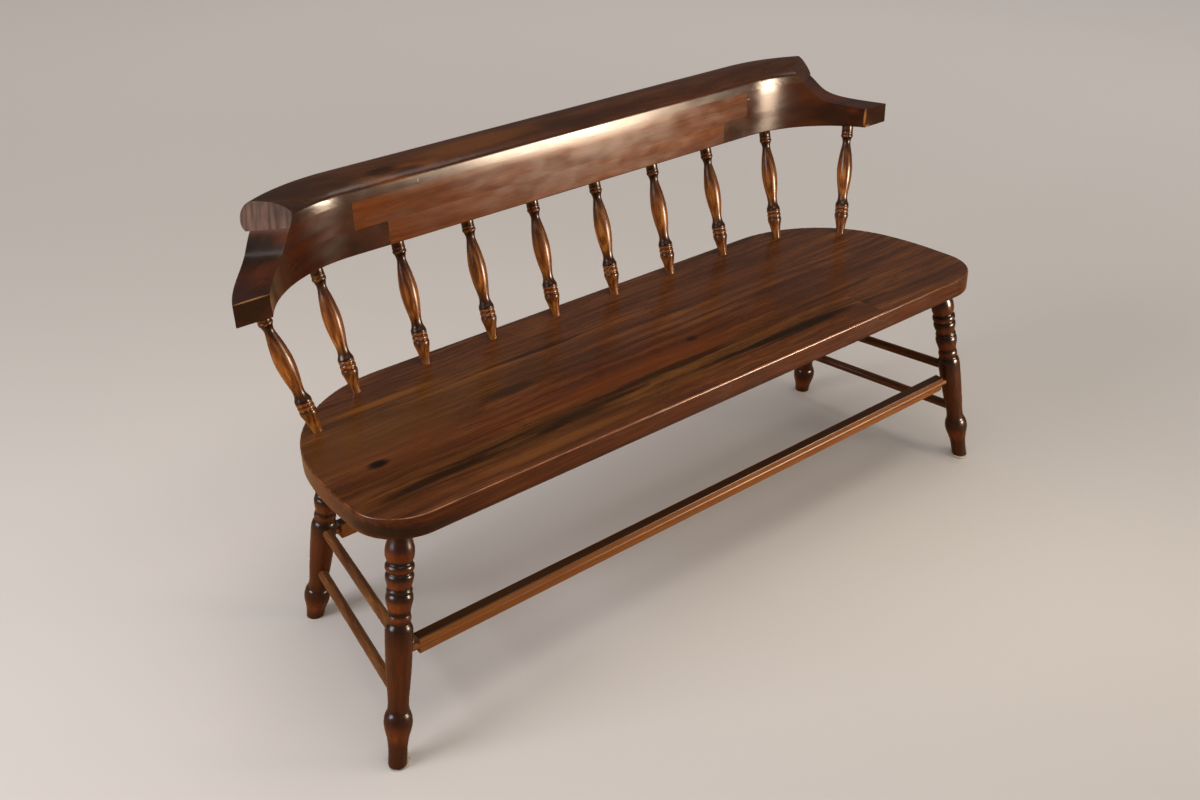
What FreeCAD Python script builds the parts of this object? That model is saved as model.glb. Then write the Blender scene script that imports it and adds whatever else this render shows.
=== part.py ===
import FreeCAD, Part
import math
import os

# A deacon's bench: a plank seat on four raked turned legs, with ten turned
# spindles that carry a bowed arm rail under a rolled crest.
# X runs along the bench, Y from front to back, Z up. Sizes are millimetres.
# Everything above the legs is laid out level on the seat and then leaned back.

Vector = FreeCAD.Vector

# Seat
SEAT_HEIGHT = 411.4         # floor to the front top edge
SEAT_PITCH = 3.8            # degrees that the seat drops to the back
SEAT_HALF_LENGTH = 637.0
SEAT_DEPTH = 401.5
SEAT_THICKNESS = 34.0
FRONT_CORNER_R = 81.0
SIDE_STRAIGHT_END = 120.0   # where the side starts to turn in
SIDE_R = 511.0
SIDE_TURN = 11.5            # degrees that the side turns before the rear corner
SEAT_EDGE_ROUND = 3.0
FRONT_BOARD_DEPTH = 96.0
MIDDLE_BOARD_END = 302.5          # clear of the outer spindles' sockets
FRONT_BOARD_JOINT_X = 359.0
JOINT_STRIP = 1.0           # its edge crosses the back board's rounded ends, which then mesh closed

# Arm rail, in three glued layers
RAIL_UNDERSIDE = 201.6      # above the seat
LOWER_LAYER = 39.9
MIDDLE_LAYER = 44.5
CREST_HEIGHT = 35.8
RAIL_FACE_Y = 400.9         # front face of the straight part
RAIL_DEPTH = 50.5
RAIL_BEND_X = 421.4         # where the straight part ends
RAIL_BEND_R = 215.4         # front face of the bend
ARM_END_Y = 286.0
RAIL_EDGE_ROUND = 2.0
LOWER_JOINT_X = 355.0
MIDDLE_JOINT_X = 412.5

# Crest section: depth behind the rail's face and height above the middle layer
CREST_FACE_HEIGHT = 11.4
CREST_ROLL = ((2.2, 17.6), (8.8, 22.9), (17.6, 27.5), (26.1, 30.8), (42.0, 34.4), (55.0, CREST_HEIGHT))
CREST_BACK = ((62.3, 33.4), (66.0, 27.5), (66.2, 17.5), (62.0, 6.5))
CREST_FOOT_DEPTH = 55.5

# Swept cut at each end of the crest: a saw cut along one level line
SWEEP_DIRECTION = 30.0      # degrees from X
SWEEP_START = -57.6         # crease, measured square to the cut's direction
SWEEP_END_FACE = 0.68       # how far the crest's end face leans back per unit of rise
SWEEP = ((13.0, 14.0), (26.0, 27.2), (44.0, 37.0), (64.0, 42.5), (90.0, 46.3), (115.0, 48.3), (150.0, 49.5))
SWEEP_REACH = 150.0

# Spindles, five on each side of the middle
SPINDLE_FEET = ((66.0, 372.2), (198.0, 372.2), (330.6, 371.5), (464.7, 362.6), (569.7, 293.5))
SPINDLE_HEADS_X = (67.4, 198.6, 330.4, 478.2, 613.9)
SEAT_TENON_R = 7.4
SEAT_TENON_DEPTH = 20.0
RAIL_TENON_R = 6.5
RAIL_TENON_DEPTH = 24.0

# Legs, all turned to one pattern; the rear ones are trimmed shorter at the foot
PAD_THICKNESS = 3.8               # felt pads, under the front feet only
PAD_R = 14.5
PAD_OFFSETS = {"left": (6.0, 1.0), "right": (-2.1, -2.5)}
FRONT_LEG_FOOT = (648.2, -9.4, PAD_THICKNESS)
FRONT_LEG_TOP = (571.4, 57.9)     # on the seat's top plane
REAR_LEG_FOOT = (583.2, 355.4, 0.0)
REAR_LEG_TOP = (532.9, 308.7)
REAR_LEG_TRIM = 24.5
LEG_TENON_R = 12.5
LEG_TENON_STOP = 8.0              # left uncut above the tenon

# Stretchers
DOWEL_R = 8.3
UPPER_SIDE_FRONT_Z = 200.3
UPPER_SIDE_REAR_Z = 181.8
LOWER_SIDE_FRONT_Z = 110.8
LOWER_SIDE_REAR_Z = 97.8
DOWEL_STOP = 8.0                  # short of the leg's axis
BAR_DEPTH = 17.0
BAR_HEIGHT = 28.0
BAR_EDGE_ROUND = 1.5
BAR_TENON_R = 5.5
FRONT_BAR_HALF_LENGTH = 583.5
FRONT_BAR_Z = 175.0
FRONT_BAR_SET_BACK = 4.0          # behind the legs' axes
REAR_BAR_HALF_LENGTH = 533.0
REAR_BAR_Z = 164.8

SIDES = (("left", -1), ("right", 1))
PITCH = math.radians(SEAT_PITCH)


def rail_height(layers):
    """Height above the seat of the top of the given number of lower layers."""
    return RAIL_UNDERSIDE + (0, LOWER_LAYER, LOWER_LAYER + MIDDLE_LAYER)[layers]


def lean(shape):
    """Turn a shape from the level layout to its place on the pitched seat."""
    placed = shape.copy()
    placed.rotate(Vector(0, 0, 0), Vector(1, 0, 0), -SEAT_PITCH)
    placed.translate(Vector(0, 0, SEAT_HEIGHT))
    return placed


def leaned_point(x, y, z=0.0):
    """The place in the room of a point of the level layout."""
    return Vector(x, y * math.cos(PITCH) + z * math.sin(PITCH),
                  SEAT_HEIGHT - y * math.sin(PITCH) + z * math.cos(PITCH))


def mirrored(shape):
    """The same shape on the other side of the bench."""
    return shape.mirror(Vector(0, 0, 0), Vector(1, 0, 0))


def box(low, high):
    """A box between two corners."""
    size = [b - a for a, b in zip(low, high)]
    return Part.makeBox(*size, Vector(*low))


def arc(a, b, c):
    """An edge through three points."""
    return Part.Arc(a, b, c).toShape()


def on_circle(centre, radius, degrees):
    """A point on a circle in the XY plane."""
    angle = math.radians(degrees)
    return Vector(centre[0] + radius * math.cos(angle), centre[1] + radius * math.sin(angle), 0)


def prism(edges, height):
    """The solid above a closed outline."""
    return Part.Face(Part.Wire(edges)).extrude(Vector(0, 0, height))


def round_edges(solid, radius, wanted):
    """Round the edges that the test picks."""
    return solid.makeFillet(radius, [edge for edge in solid.Edges if wanted(edge)])


def lies_at(edge, z):
    """Whether an edge lies in the level plane at z."""
    bounds = edge.BoundBox
    return abs(bounds.ZMin - z) < 0.01 and abs(bounds.ZMax - z) < 0.01


def one_solid(shape):
    """The largest solid of a shape, with its split faces joined."""
    solid = max(shape.Solids, key=lambda item: item.Volume)
    return solid.removeSplitter()


# Seat

def seat_outline():
    """Closed outline of the seat: the right half and its mirror."""
    front = on_circle((SEAT_HALF_LENGTH - FRONT_CORNER_R, FRONT_CORNER_R), FRONT_CORNER_R, -90)
    front_mid = on_circle((SEAT_HALF_LENGTH - FRONT_CORNER_R, FRONT_CORNER_R), FRONT_CORNER_R, -45)
    side_start = Vector(SEAT_HALF_LENGTH, FRONT_CORNER_R, 0)
    turn_start = Vector(SEAT_HALF_LENGTH, SIDE_STRAIGHT_END, 0)
    side_centre = (SEAT_HALF_LENGTH - SIDE_R, SIDE_STRAIGHT_END)
    turn_mid = on_circle(side_centre, SIDE_R, SIDE_TURN / 2)
    turn_end = on_circle(side_centre, SIDE_R, SIDE_TURN)
    sine = math.sin(math.radians(SIDE_TURN))
    rear_r = (SEAT_DEPTH - turn_end.y) / (1 - sine)
    rear_centre = (turn_end.x - rear_r * math.cos(math.radians(SIDE_TURN)), SEAT_DEPTH - rear_r)
    rear_mid = on_circle(rear_centre, rear_r, (90 + SIDE_TURN) / 2)
    back = Vector(rear_centre[0], SEAT_DEPTH, 0)
    half = [Part.LineSegment(Vector(0, 0, 0), front).toShape(),
            arc(front, front_mid, side_start),
            Part.LineSegment(side_start, turn_start).toShape(),
            arc(turn_start, turn_mid, turn_end),
            arc(turn_end, rear_mid, back),
            Part.LineSegment(back, Vector(0, SEAT_DEPTH, 0)).toShape()]
    other = [mirrored(edge) for edge in reversed(half)]
    return Part.sortEdges(half + other)[0]


def seat_blank():
    """The whole seat, level, with its top at height 0."""
    blank = prism(seat_outline(), -SEAT_THICKNESS)
    return round_edges(blank, SEAT_EDGE_ROUND,
                       lambda edge: lies_at(edge, 0) or lies_at(edge, -SEAT_THICKNESS))


def span_of(shape, near, far):
    """What lies between two corners of the seat's plan."""
    return shape.common(box((*near, -SEAT_THICKNESS - 1), (*far, 1)))


def seat_boards(sockets):
    """The seat's boards by name, cut from the blank."""
    reach = 2 * SEAT_HALF_LENGTH
    blank = seat_blank()
    boards = {
        "seat_board_front_left": span_of(blank, (-reach, -1), (FRONT_BOARD_JOINT_X, FRONT_BOARD_DEPTH)),
        "seat_board_front_right": span_of(blank, (FRONT_BOARD_JOINT_X, -1), (reach, FRONT_BOARD_DEPTH)),
        "seat_board_middle": span_of(blank, (-reach, FRONT_BOARD_DEPTH), (reach, MIDDLE_BOARD_END)),
    }
    boards = {name: one_solid(lean(board).cut(sockets)) for name, board in boards.items()}
    strip_end = MIDDLE_BOARD_END + JOINT_STRIP
    strip = span_of(blank, (-reach, MIDDLE_BOARD_END), (reach, strip_end))
    rest = span_of(blank, (-reach, strip_end), (reach, SEAT_DEPTH + 1))
    boards["seat_board_back"] = lean(strip.fuse(rest)).cut(sockets).Solids[0]
    return boards


# Arm rail and crest

def rail_end_angle(radius):
    """Angle on the bend at which a circle of this radius meets the arm's end."""
    return math.degrees(math.asin((ARM_END_Y - bend_centre()[1]) / radius))


def bend_centre():
    """Centre of the right bend."""
    return RAIL_BEND_X, RAIL_FACE_Y - RAIL_BEND_R


def rail_outline():
    """Plan of the rail: a straight back with two bends that end in arms."""
    inner_r, outer_r = RAIL_BEND_R, RAIL_BEND_R + RAIL_DEPTH
    ends = {r: rail_end_angle(r) for r in (inner_r, outer_r)}
    edges = []
    for r in (inner_r, outer_r):
        points = [on_circle(bend_centre(), r, angle) for angle in (ends[r], (ends[r] + 90) / 2, 90)]
        edges += [arc(*points), mirrored(arc(*points))]
        edges.append(Part.LineSegment(points[2], Vector(-points[2].x, points[2].y, 0)).toShape())
    tip = [on_circle(bend_centre(), r, ends[r]) for r in (inner_r, outer_r)]
    end = Part.LineSegment(*tip).toShape()
    edges += [end, mirrored(end)]
    return Part.sortEdges(edges)[0]


def sweep_cutter():
    """Wood taken off the right end of the crest and the arm below it."""
    angle = math.radians(SWEEP_DIRECTION)
    along = Vector(math.cos(angle), math.sin(angle), 0)
    square = Vector(math.sin(angle), -math.cos(angle), 0)
    base = rail_height(2)

    def at(forward, height):
        """A point of the cut, forward of the crease and above its height."""
        return square * (SWEEP_START + forward) + Vector(0, 0, base + height) - along * 2 * SWEEP_REACH

    over = CREST_HEIGHT + 10
    dip = Part.BSplineCurve()
    dip.interpolate([at(0, 0)] + [at(forward, -drop) for forward, drop in SWEEP])
    last = at(SWEEP[-1][0], -SWEEP[-1][1])
    corner = at(SWEEP[-1][0], over)
    top = at(-over * SWEEP_END_FACE, over)
    sides = Part.makePolygon([last, corner, top, at(0, 0)])
    face = Part.Face(Part.Wire([dip.toShape()] + sides.Edges))
    return face.extrude(along * 8 * SWEEP_REACH)


def rail_layer(number, cutters):
    """One level layer of the bow, before its joints are cut."""
    bottom = rail_height(number)
    layer = prism(rail_outline(), rail_height(number + 1) - bottom)
    layer.translate(Vector(0, 0, bottom))
    if number == 0:
        layer = round_edges(layer, RAIL_EDGE_ROUND, lambda edge: lies_at(edge, bottom))
    for cutter in cutters:
        layer = layer.cut(cutter)
    return layer


def split_layer(layer, name, joint_x):
    """A layer's left, centre and right lengths, butt jointed."""
    reach, low, high = 2 * SEAT_HALF_LENGTH, 0, 2 * RAIL_UNDERSIDE
    parts = {}
    spans = (("left", -reach, -joint_x), ("centre", -joint_x, joint_x), ("right", joint_x, reach))
    for side, start, end in spans:
        part = layer.common(box((start, -reach, low), (end, reach, high)))
        parts["rail_" + name + "_" + side] = one_solid(part)
    return parts


def crest_section(x):
    """The crest's section in the plane at x."""
    base = rail_height(2)

    def at(depth, height):
        """A point of the section."""
        return Vector(x, RAIL_FACE_Y + depth, base + height)

    roll = Part.BSplineCurve()
    roll.interpolate([at(0, CREST_FACE_HEIGHT)] + [at(*point) for point in CREST_ROLL])
    back = Part.BSplineCurve()
    back.interpolate([at(*CREST_ROLL[-1])] + [at(*point) for point in CREST_BACK] + [at(CREST_FOOT_DEPTH, 0)])
    flats = Part.makePolygon([at(CREST_FOOT_DEPTH, 0), at(0, 0), at(0, CREST_FACE_HEIGHT)])
    return Part.Face(Part.Wire([roll.toShape(), back.toShape()] + flats.Edges))


def crest_rail(cutters):
    """The rolled crest along the back and round into both bends."""
    section = crest_section(RAIL_BEND_X)
    straight = section.extrude(Vector(-2 * RAIL_BEND_X, 0, 0))
    centre = Vector(*bend_centre(), 0)
    bend = section.revolve(centre, Vector(0, 0, 1), -88)
    crest = straight.fuse([bend, mirrored(bend)]).removeSplitter()
    for cutter in cutters:
        crest = crest.cut(cutter)
    return one_solid(crest)


# Turnings

def bead(start, end, edge_r, peak_r):
    """A rounded bead as an arc: start, middle and end of its outline."""
    return "arc", (start, edge_r), ((start + end) / 2, peak_r), (end, edge_r)


def curve(*points):
    """A smooth run of a turning's outline."""
    return ("curve",) + points


def turned(stretches, foot, top):
    """Turn an outline of distance and radius about the line from foot to top."""
    edges = []
    last = None
    for kind, *points in stretches:
        stations = [Vector(r, 0, s) for s, r in points]
        if last is not None and (last - stations[0]).Length > 0.001:
            edges.append(Part.LineSegment(last, stations[0]).toShape())
        if kind == "arc":
            edges.append(arc(*stations))
        else:
            spline = Part.BSplineCurve()
            spline.interpolate(stations)
            edges.append(spline.toShape())
        last = stations[-1]
    first = edges[0].Vertexes[0].Point
    edges += Part.makePolygon([last, Vector(0, 0, last.z), Vector(0, 0, first.z), first]).Edges
    body = Part.Face(Part.Wire(edges)).revolve(Vector(0, 0, 0), Vector(0, 0, 1), 360)
    axis = top - foot
    body.Placement = FreeCAD.Placement(foot, FreeCAD.Rotation(Vector(0, 0, 1), axis))
    return body


LEG_TURNING = (
    curve((-12, 13.8), (15.6, 13.8), (28.6, 14.3), (42.1, 15.9), (55.3, 19.0), (70.6, 20.9), (80.6, 19.2),
          (84.2, 17.9)),
    curve((85, 16.9), (94.9, 15.4), (120.5, 16.4), (146.4, 18.0), (172, 19.1), (197.1, 19.9), (212.6, 20.1),
          (221.8, 19.0), (226.6, 16.7)),
    curve((227.6, 16.0), (230.1, 16.1)),
    bead(230.1, 241.6, 16.1, 17.4),
    curve((241.6, 16.0), (246.9, 16.0)),
    curve((246.9, 16.2), (256.5, 18.2), (265.5, 19.6), (271.4, 19.0), (274.4, 17.4)),
    bead(275.6, 281.6, 17.2, 18.5),
    curve((282.8, 16.9), (286.5, 17.6), (292.9, 19.2), (298.6, 20.3), (303.2, 19.7), (306.2, 17.6)),
    bead(307.4, 321.0, 17.6, 20.9),
    curve((322.2, 17.2), (323.8, 17.6)),
    curve((323.8, 18.0), (329.6, 20.2), (337.2, 20.8), (344.6, 20.2), (351.6, 18.4), (360.6, 16.6),
          (370.6, 16.3), (398.6, 16.3)),
)

SPINDLE_TURNING = (
    curve((-2, 7.5), (11.4, 8.6), (18.8, 9.8), (27.4, 11.8), (34.5, 13.1), (37.6, 12.5)),
    bead(39.2, 45.9, 11.9, 12.9),
    bead(46.9, 53.0, 11.8, 12.8),
    curve((53.0, 12.7), (56.0, 12.3), (59.5, 10.8), (63.8, 9.4), (69.6, 8.9), (84.1, 10.7), (98.5, 12.85),
          (112.8, 14.1), (127, 14.1), (141.3, 12.6), (155.5, 10.4), (168, 7.9), (173.5, 7.5), (178, 8.4),
          (182, 9.7)),
    bead(182.2, 188, 10.2, 11.2),
    bead(188.4, 193.2, 10.2, 10.7),
    curve((193.6, 10.4), (214, 10.5)),
)


def leg_axis(foot, top):
    """A leg's foot, the point where its axis meets the seat's top, and the direction between."""
    low = Vector(*foot)
    high = leaned_point(*top)
    return low, high, (high - low).normalize()


def leg(foot, top, trim):
    """One leg and its tenon, its foot cut level."""
    low, high, direction = leg_axis(foot, top)
    body = turned(LEG_TURNING, low - direction * trim, high)
    under_seat = lean(box((0, -200, -600), (1000, 600, -SEAT_THICKNESS)))
    above_foot = box((0, -200, low.z), (1000, 600, 600))
    body = body.common(under_seat).common(above_foot)
    return one_solid(body.fuse(leg_tenon(foot, top)))


def leg_tenon(foot, top):
    """Round tenon of a leg, blind in the seat."""
    _, high, direction = leg_axis(foot, top)
    length = SEAT_THICKNESS + LEG_TENON_STOP
    return Part.makeCylinder(LEG_TENON_R, length, high - direction * (length + LEG_TENON_STOP), direction)


def leg_point(foot, top, z):
    """Where a leg's axis is at a height above the floor."""
    low, high, _ = leg_axis(foot, top)
    return low + (high - low) * ((z - low.z) / (high.z - low.z))


def foot_pad(side, sign):
    """Round felt pad under a front leg, stuck on a little off centre."""
    x, y = PAD_OFFSETS[side]
    centre = Vector(sign * FRONT_LEG_FOOT[0] + x, FRONT_LEG_FOOT[1] + y, 0)
    return Part.makeCylinder(PAD_R, PAD_THICKNESS, centre)


def side_stretcher(front_z, rear_z):
    """Dowel between the front and rear leg."""
    front = leg_point(FRONT_LEG_FOOT, FRONT_LEG_TOP, front_z)
    rear = leg_point(REAR_LEG_FOOT, REAR_LEG_TOP, rear_z)
    direction = (rear - front).normalize()
    length = (rear - front).Length - 2 * DOWEL_STOP
    return Part.makeCylinder(DOWEL_R, length, front + direction * DOWEL_STOP, direction)


def cross_bar(foot, top, half_length, z, set_back=0.0):
    """Flat bar between two legs, with round tenons in line with the legs' axes."""
    centre = leg_point(foot, top, z)
    middle_y = centre.y + set_back
    low = (-half_length, middle_y - BAR_DEPTH / 2, z - BAR_HEIGHT / 2)
    high = (half_length, middle_y + BAR_DEPTH / 2, z + BAR_HEIGHT / 2)
    bar = box(low, high)
    bar = bar.makeFillet(BAR_EDGE_ROUND, [edge for edge in bar.Edges if edge.Length > half_length])
    reach = centre.x - DOWEL_STOP
    tenon = Part.makeCylinder(BAR_TENON_R, 2 * reach, Vector(-reach, centre.y, z), Vector(1, 0, 0))
    return one_solid(bar.fuse(tenon))


def spindle_axis(number):
    """Foot and head of a right-hand spindle on the level seat."""
    x, y = SPINDLE_FEET[number]
    head_x = SPINDLE_HEADS_X[number]
    centre_r = RAIL_BEND_R + RAIL_DEPTH / 2
    across = max(head_x - RAIL_BEND_X, 0)
    head_y = bend_centre()[1] + math.sqrt(centre_r ** 2 - across ** 2)
    return Vector(x, y, 0), Vector(head_x, head_y, RAIL_UNDERSIDE)


def spindle(number):
    """One turned spindle with its two tenons, level."""
    foot, head = spindle_axis(number)
    body = turned(SPINDLE_TURNING, foot, head)
    between = box((0, 0, 0), (1000, 1000, RAIL_UNDERSIDE))
    body = body.common(between)
    for tenon in spindle_tenons(number):
        body = body.fuse(tenon)
    return one_solid(body)


def spindle_tenons(number):
    """Round tenons at the foot and the head of a spindle."""
    foot, head = spindle_axis(number)
    direction = (head - foot).normalize()
    lap = 5.0
    bottom = foot - direction * SEAT_TENON_DEPTH
    return (Part.makeCylinder(SEAT_TENON_R, SEAT_TENON_DEPTH + lap, bottom, direction),
            Part.makeCylinder(RAIL_TENON_R, RAIL_TENON_DEPTH + lap, head - direction * lap, direction))


def both_sides(shape):
    """A right-hand shape and its mirror."""
    return [shape, mirrored(shape)]


def build():
    """Make every piece by name, before the bench is centred."""
    pieces = {}
    spindle_count = len(SPINDLE_FEET)
    foot_tenons, head_tenons = [], []
    for number in range(spindle_count):
        foot_tenon, head_tenon = spindle_tenons(number)
        foot_tenons += [lean(item) for item in both_sides(foot_tenon)]
        head_tenons += both_sides(head_tenon)

    leg_lines = {"front": (FRONT_LEG_FOOT, FRONT_LEG_TOP, 0),
                 "rear": (REAR_LEG_FOOT, REAR_LEG_TOP, REAR_LEG_TRIM)}
    leg_tenons = []
    for foot, top, _ in leg_lines.values():
        leg_tenons += both_sides(leg_tenon(foot, top))
    pieces.update(seat_boards(foot_tenons + leg_tenons))

    sweeps = both_sides(sweep_cutter())
    for number, name, joint_x in ((0, "lower", LOWER_JOINT_X), (1, "middle", MIDDLE_JOINT_X)):
        layer = rail_layer(number, sweeps)
        if number == 0:
            layer = layer.cut(head_tenons)
        for part_name, part in split_layer(layer, name, joint_x).items():
            pieces[part_name] = lean(part)
    pieces["crest_rail"] = lean(crest_rail(sweeps))

    for number in range(spindle_count):
        right = spindle(number)
        pieces["spindle_%02d" % (spindle_count + 1 + number)] = lean(right)
        pieces["spindle_%02d" % (spindle_count - number)] = lean(mirrored(right))

    dowels = {"upper": side_stretcher(UPPER_SIDE_FRONT_Z, UPPER_SIDE_REAR_Z),
              "lower": side_stretcher(LOWER_SIDE_FRONT_Z, LOWER_SIDE_REAR_Z)}
    bars = {"front": cross_bar(FRONT_LEG_FOOT, FRONT_LEG_TOP, FRONT_BAR_HALF_LENGTH, FRONT_BAR_Z,
                               FRONT_BAR_SET_BACK),
            "rear": cross_bar(REAR_LEG_FOOT, REAR_LEG_TOP, REAR_BAR_HALF_LENGTH, REAR_BAR_Z)}
    for row, (foot, top, trim) in leg_lines.items():
        right = one_solid(leg(foot, top, trim).cut(list(dowels.values()) + [bars[row]]))
        pieces["leg_" + row + "_left"] = mirrored(right)
        pieces["leg_" + row + "_right"] = right
        pieces[row + "_stretcher"] = bars[row]
    for side, sign in SIDES:
        pieces["foot_pad_" + side] = foot_pad(side, sign)
    for level, dowel in dowels.items():
        pieces["side_stretcher_" + level + "_left"] = mirrored(dowel)
        pieces["side_stretcher_" + level + "_right"] = dowel
    return pieces


def centre_depth():
    """Middle of the bench from front to back."""
    bounds = [item.optimalBoundingBox(False) for item in pieces.values()]
    return (min(item.YMin for item in bounds) + max(item.YMax for item in bounds)) / 2


os.makedirs("parts", exist_ok=True)
pieces = build()
shift = Vector(0, -centre_depth(), 0)
for piece_name, piece in pieces.items():
    piece.translate(shift)
    if not piece.isValid() or len(piece.Solids) != 1:
        raise RuntimeError(piece_name + " is not one sound solid")
    piece.exportStep("parts/" + piece_name + ".step")
print(len(pieces), "pieces, centred by", round(shift.y, 2))
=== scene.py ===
"""Looks of a deacon's bench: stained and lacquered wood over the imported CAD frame, in metres."""

import logging
import math
from collections.abc import Callable, Sequence
from dataclasses import dataclass
from enum import Enum

import bmesh
import bpy
from mathutils import Matrix, Vector


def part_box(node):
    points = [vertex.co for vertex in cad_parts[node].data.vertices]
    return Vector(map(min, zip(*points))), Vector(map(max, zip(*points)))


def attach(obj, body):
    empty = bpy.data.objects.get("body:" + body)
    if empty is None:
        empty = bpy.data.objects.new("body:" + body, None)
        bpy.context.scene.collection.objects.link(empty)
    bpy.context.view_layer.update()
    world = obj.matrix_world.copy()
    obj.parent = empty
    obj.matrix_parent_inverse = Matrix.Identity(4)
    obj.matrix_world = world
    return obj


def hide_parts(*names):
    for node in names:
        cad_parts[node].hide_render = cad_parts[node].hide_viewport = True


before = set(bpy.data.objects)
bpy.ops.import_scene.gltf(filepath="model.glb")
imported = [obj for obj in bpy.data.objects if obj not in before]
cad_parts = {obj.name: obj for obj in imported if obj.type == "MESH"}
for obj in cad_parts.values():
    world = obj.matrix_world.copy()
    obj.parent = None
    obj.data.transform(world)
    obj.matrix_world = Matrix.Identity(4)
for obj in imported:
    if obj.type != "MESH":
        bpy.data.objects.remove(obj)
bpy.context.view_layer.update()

log = logging.getLogger("bench")

MM = 0.001
SEAT_PITCH = math.radians(3.8)          # the seat drops to the back
SEAT_ORIGIN = Vector((0.0, -0.23034, 0.4114))   # middle of the seat's front top edge
LEAN = Matrix.Rotation(-SEAT_PITCH, 3, "X")     # turns the level seat layout into the bench's frame
UP = LEAN @ Vector((0, 0, 1))           # square to the seat
UPRIGHT = Vector((0, 0, 1))             # square to the floor
LENGTH = Vector((1, 0, 0))
FRONTWARDS = Vector((0, -1, 0))
SPINDLE_COUNT = 10
BODY = "root"

MERGE_GAP = 0.004 * MM                  # points nearer than this are one point
FLAT_TURN = math.radians(0.2)           # faces that turn less than this are one flat face
SEAM_GAP = 0.05 * MM                    # edges nearer than this lie in the seam
PATTERN_STEP = Vector((0.71, 0.173, 0.117))     # metres in the pattern from one piece to the next
RING_PITCH = 0.314                      # spacing of the wave texture's rings at a scale of 1
LACQUER_IOR = 1.46

Socket = bpy.types.NodeSocket


class Run(Enum):
    """Which way the fibres run in a piece of the bow, as an angle from the bench's length."""

    LENGTHWISE = 0.0
    LEFT_ARM = 24.0
    RIGHT_ARM = -24.0


class Blend(Enum):
    """How a patch lies over the wood: it covers the grain, or only tints it."""

    COVER = "MIX"
    TINT = "COLOR"


def linear(colour: str) -> tuple[float, float, float, float]:
    """Turn an sRGB hex colour to the linear colour that a socket takes.

    Args:
        colour: six hex digits after a hash sign.

    Returns:
        Linear red, green and blue with full alpha.
    """
    parts = [int(colour[i:i + 2], 16) / 255 for i in (1, 3, 5)]
    red, green, blue = (p / 12.92 if p <= 0.04045 else ((p + 0.055) / 1.055) ** 2.4 for p in parts)
    return red, green, blue, 1.0


def add(tree: bpy.types.NodeTree, kind: str, inputs: dict[str | int, object] | None = None,
        **settings: object) -> bpy.types.Node:
    """Add a node with its settings, socket values and links.

    Args:
        tree: the node tree that takes it.
        kind: the node's type, after ShaderNode.
        inputs: a value or another node's output for each socket, by name or number.
        **settings: the node's own properties.

    Returns:
        The new node.
    """
    node = tree.nodes.new("ShaderNode" + kind)
    for name, value in settings.items():
        setattr(node, name, value)
    for key, value in (inputs or {}).items():
        if isinstance(value, Socket):
            tree.links.new(value, node.inputs[key])
        else:
            node.inputs[key].default_value = value
    return node


def leaned(x: float, y: float, z: float = 0.0) -> Vector:
    """The place of a point of the level seat layout, in millimetres from the seat's front edge."""
    return SEAT_ORIGIN + LEAN @ Vector((x, y, z)) * MM


def outward(azimuth: float, elevation: float) -> Vector:
    """The direction away from the bench, in degrees to the right of its front and above the floor."""
    turn, rise = math.radians(azimuth), math.radians(elevation)
    return Vector((math.sin(turn) * math.cos(rise), -math.cos(turn) * math.cos(rise), math.sin(rise)))


@dataclass(frozen=True)
class Patch:
    """A soft-edged mark in the wood: a knot, a worn place, a streak of another colour, or painted shade."""

    centre: Vector                      # in the bench's frame, metres
    reach: tuple[float, float, float]   # half sizes along X, Y and Z, millimetres
    colour: str
    strength: float = 1.0
    ragged: float = 0.5                 # how far the grain breaks up its edge
    blend: Blend = Blend.COVER


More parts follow.
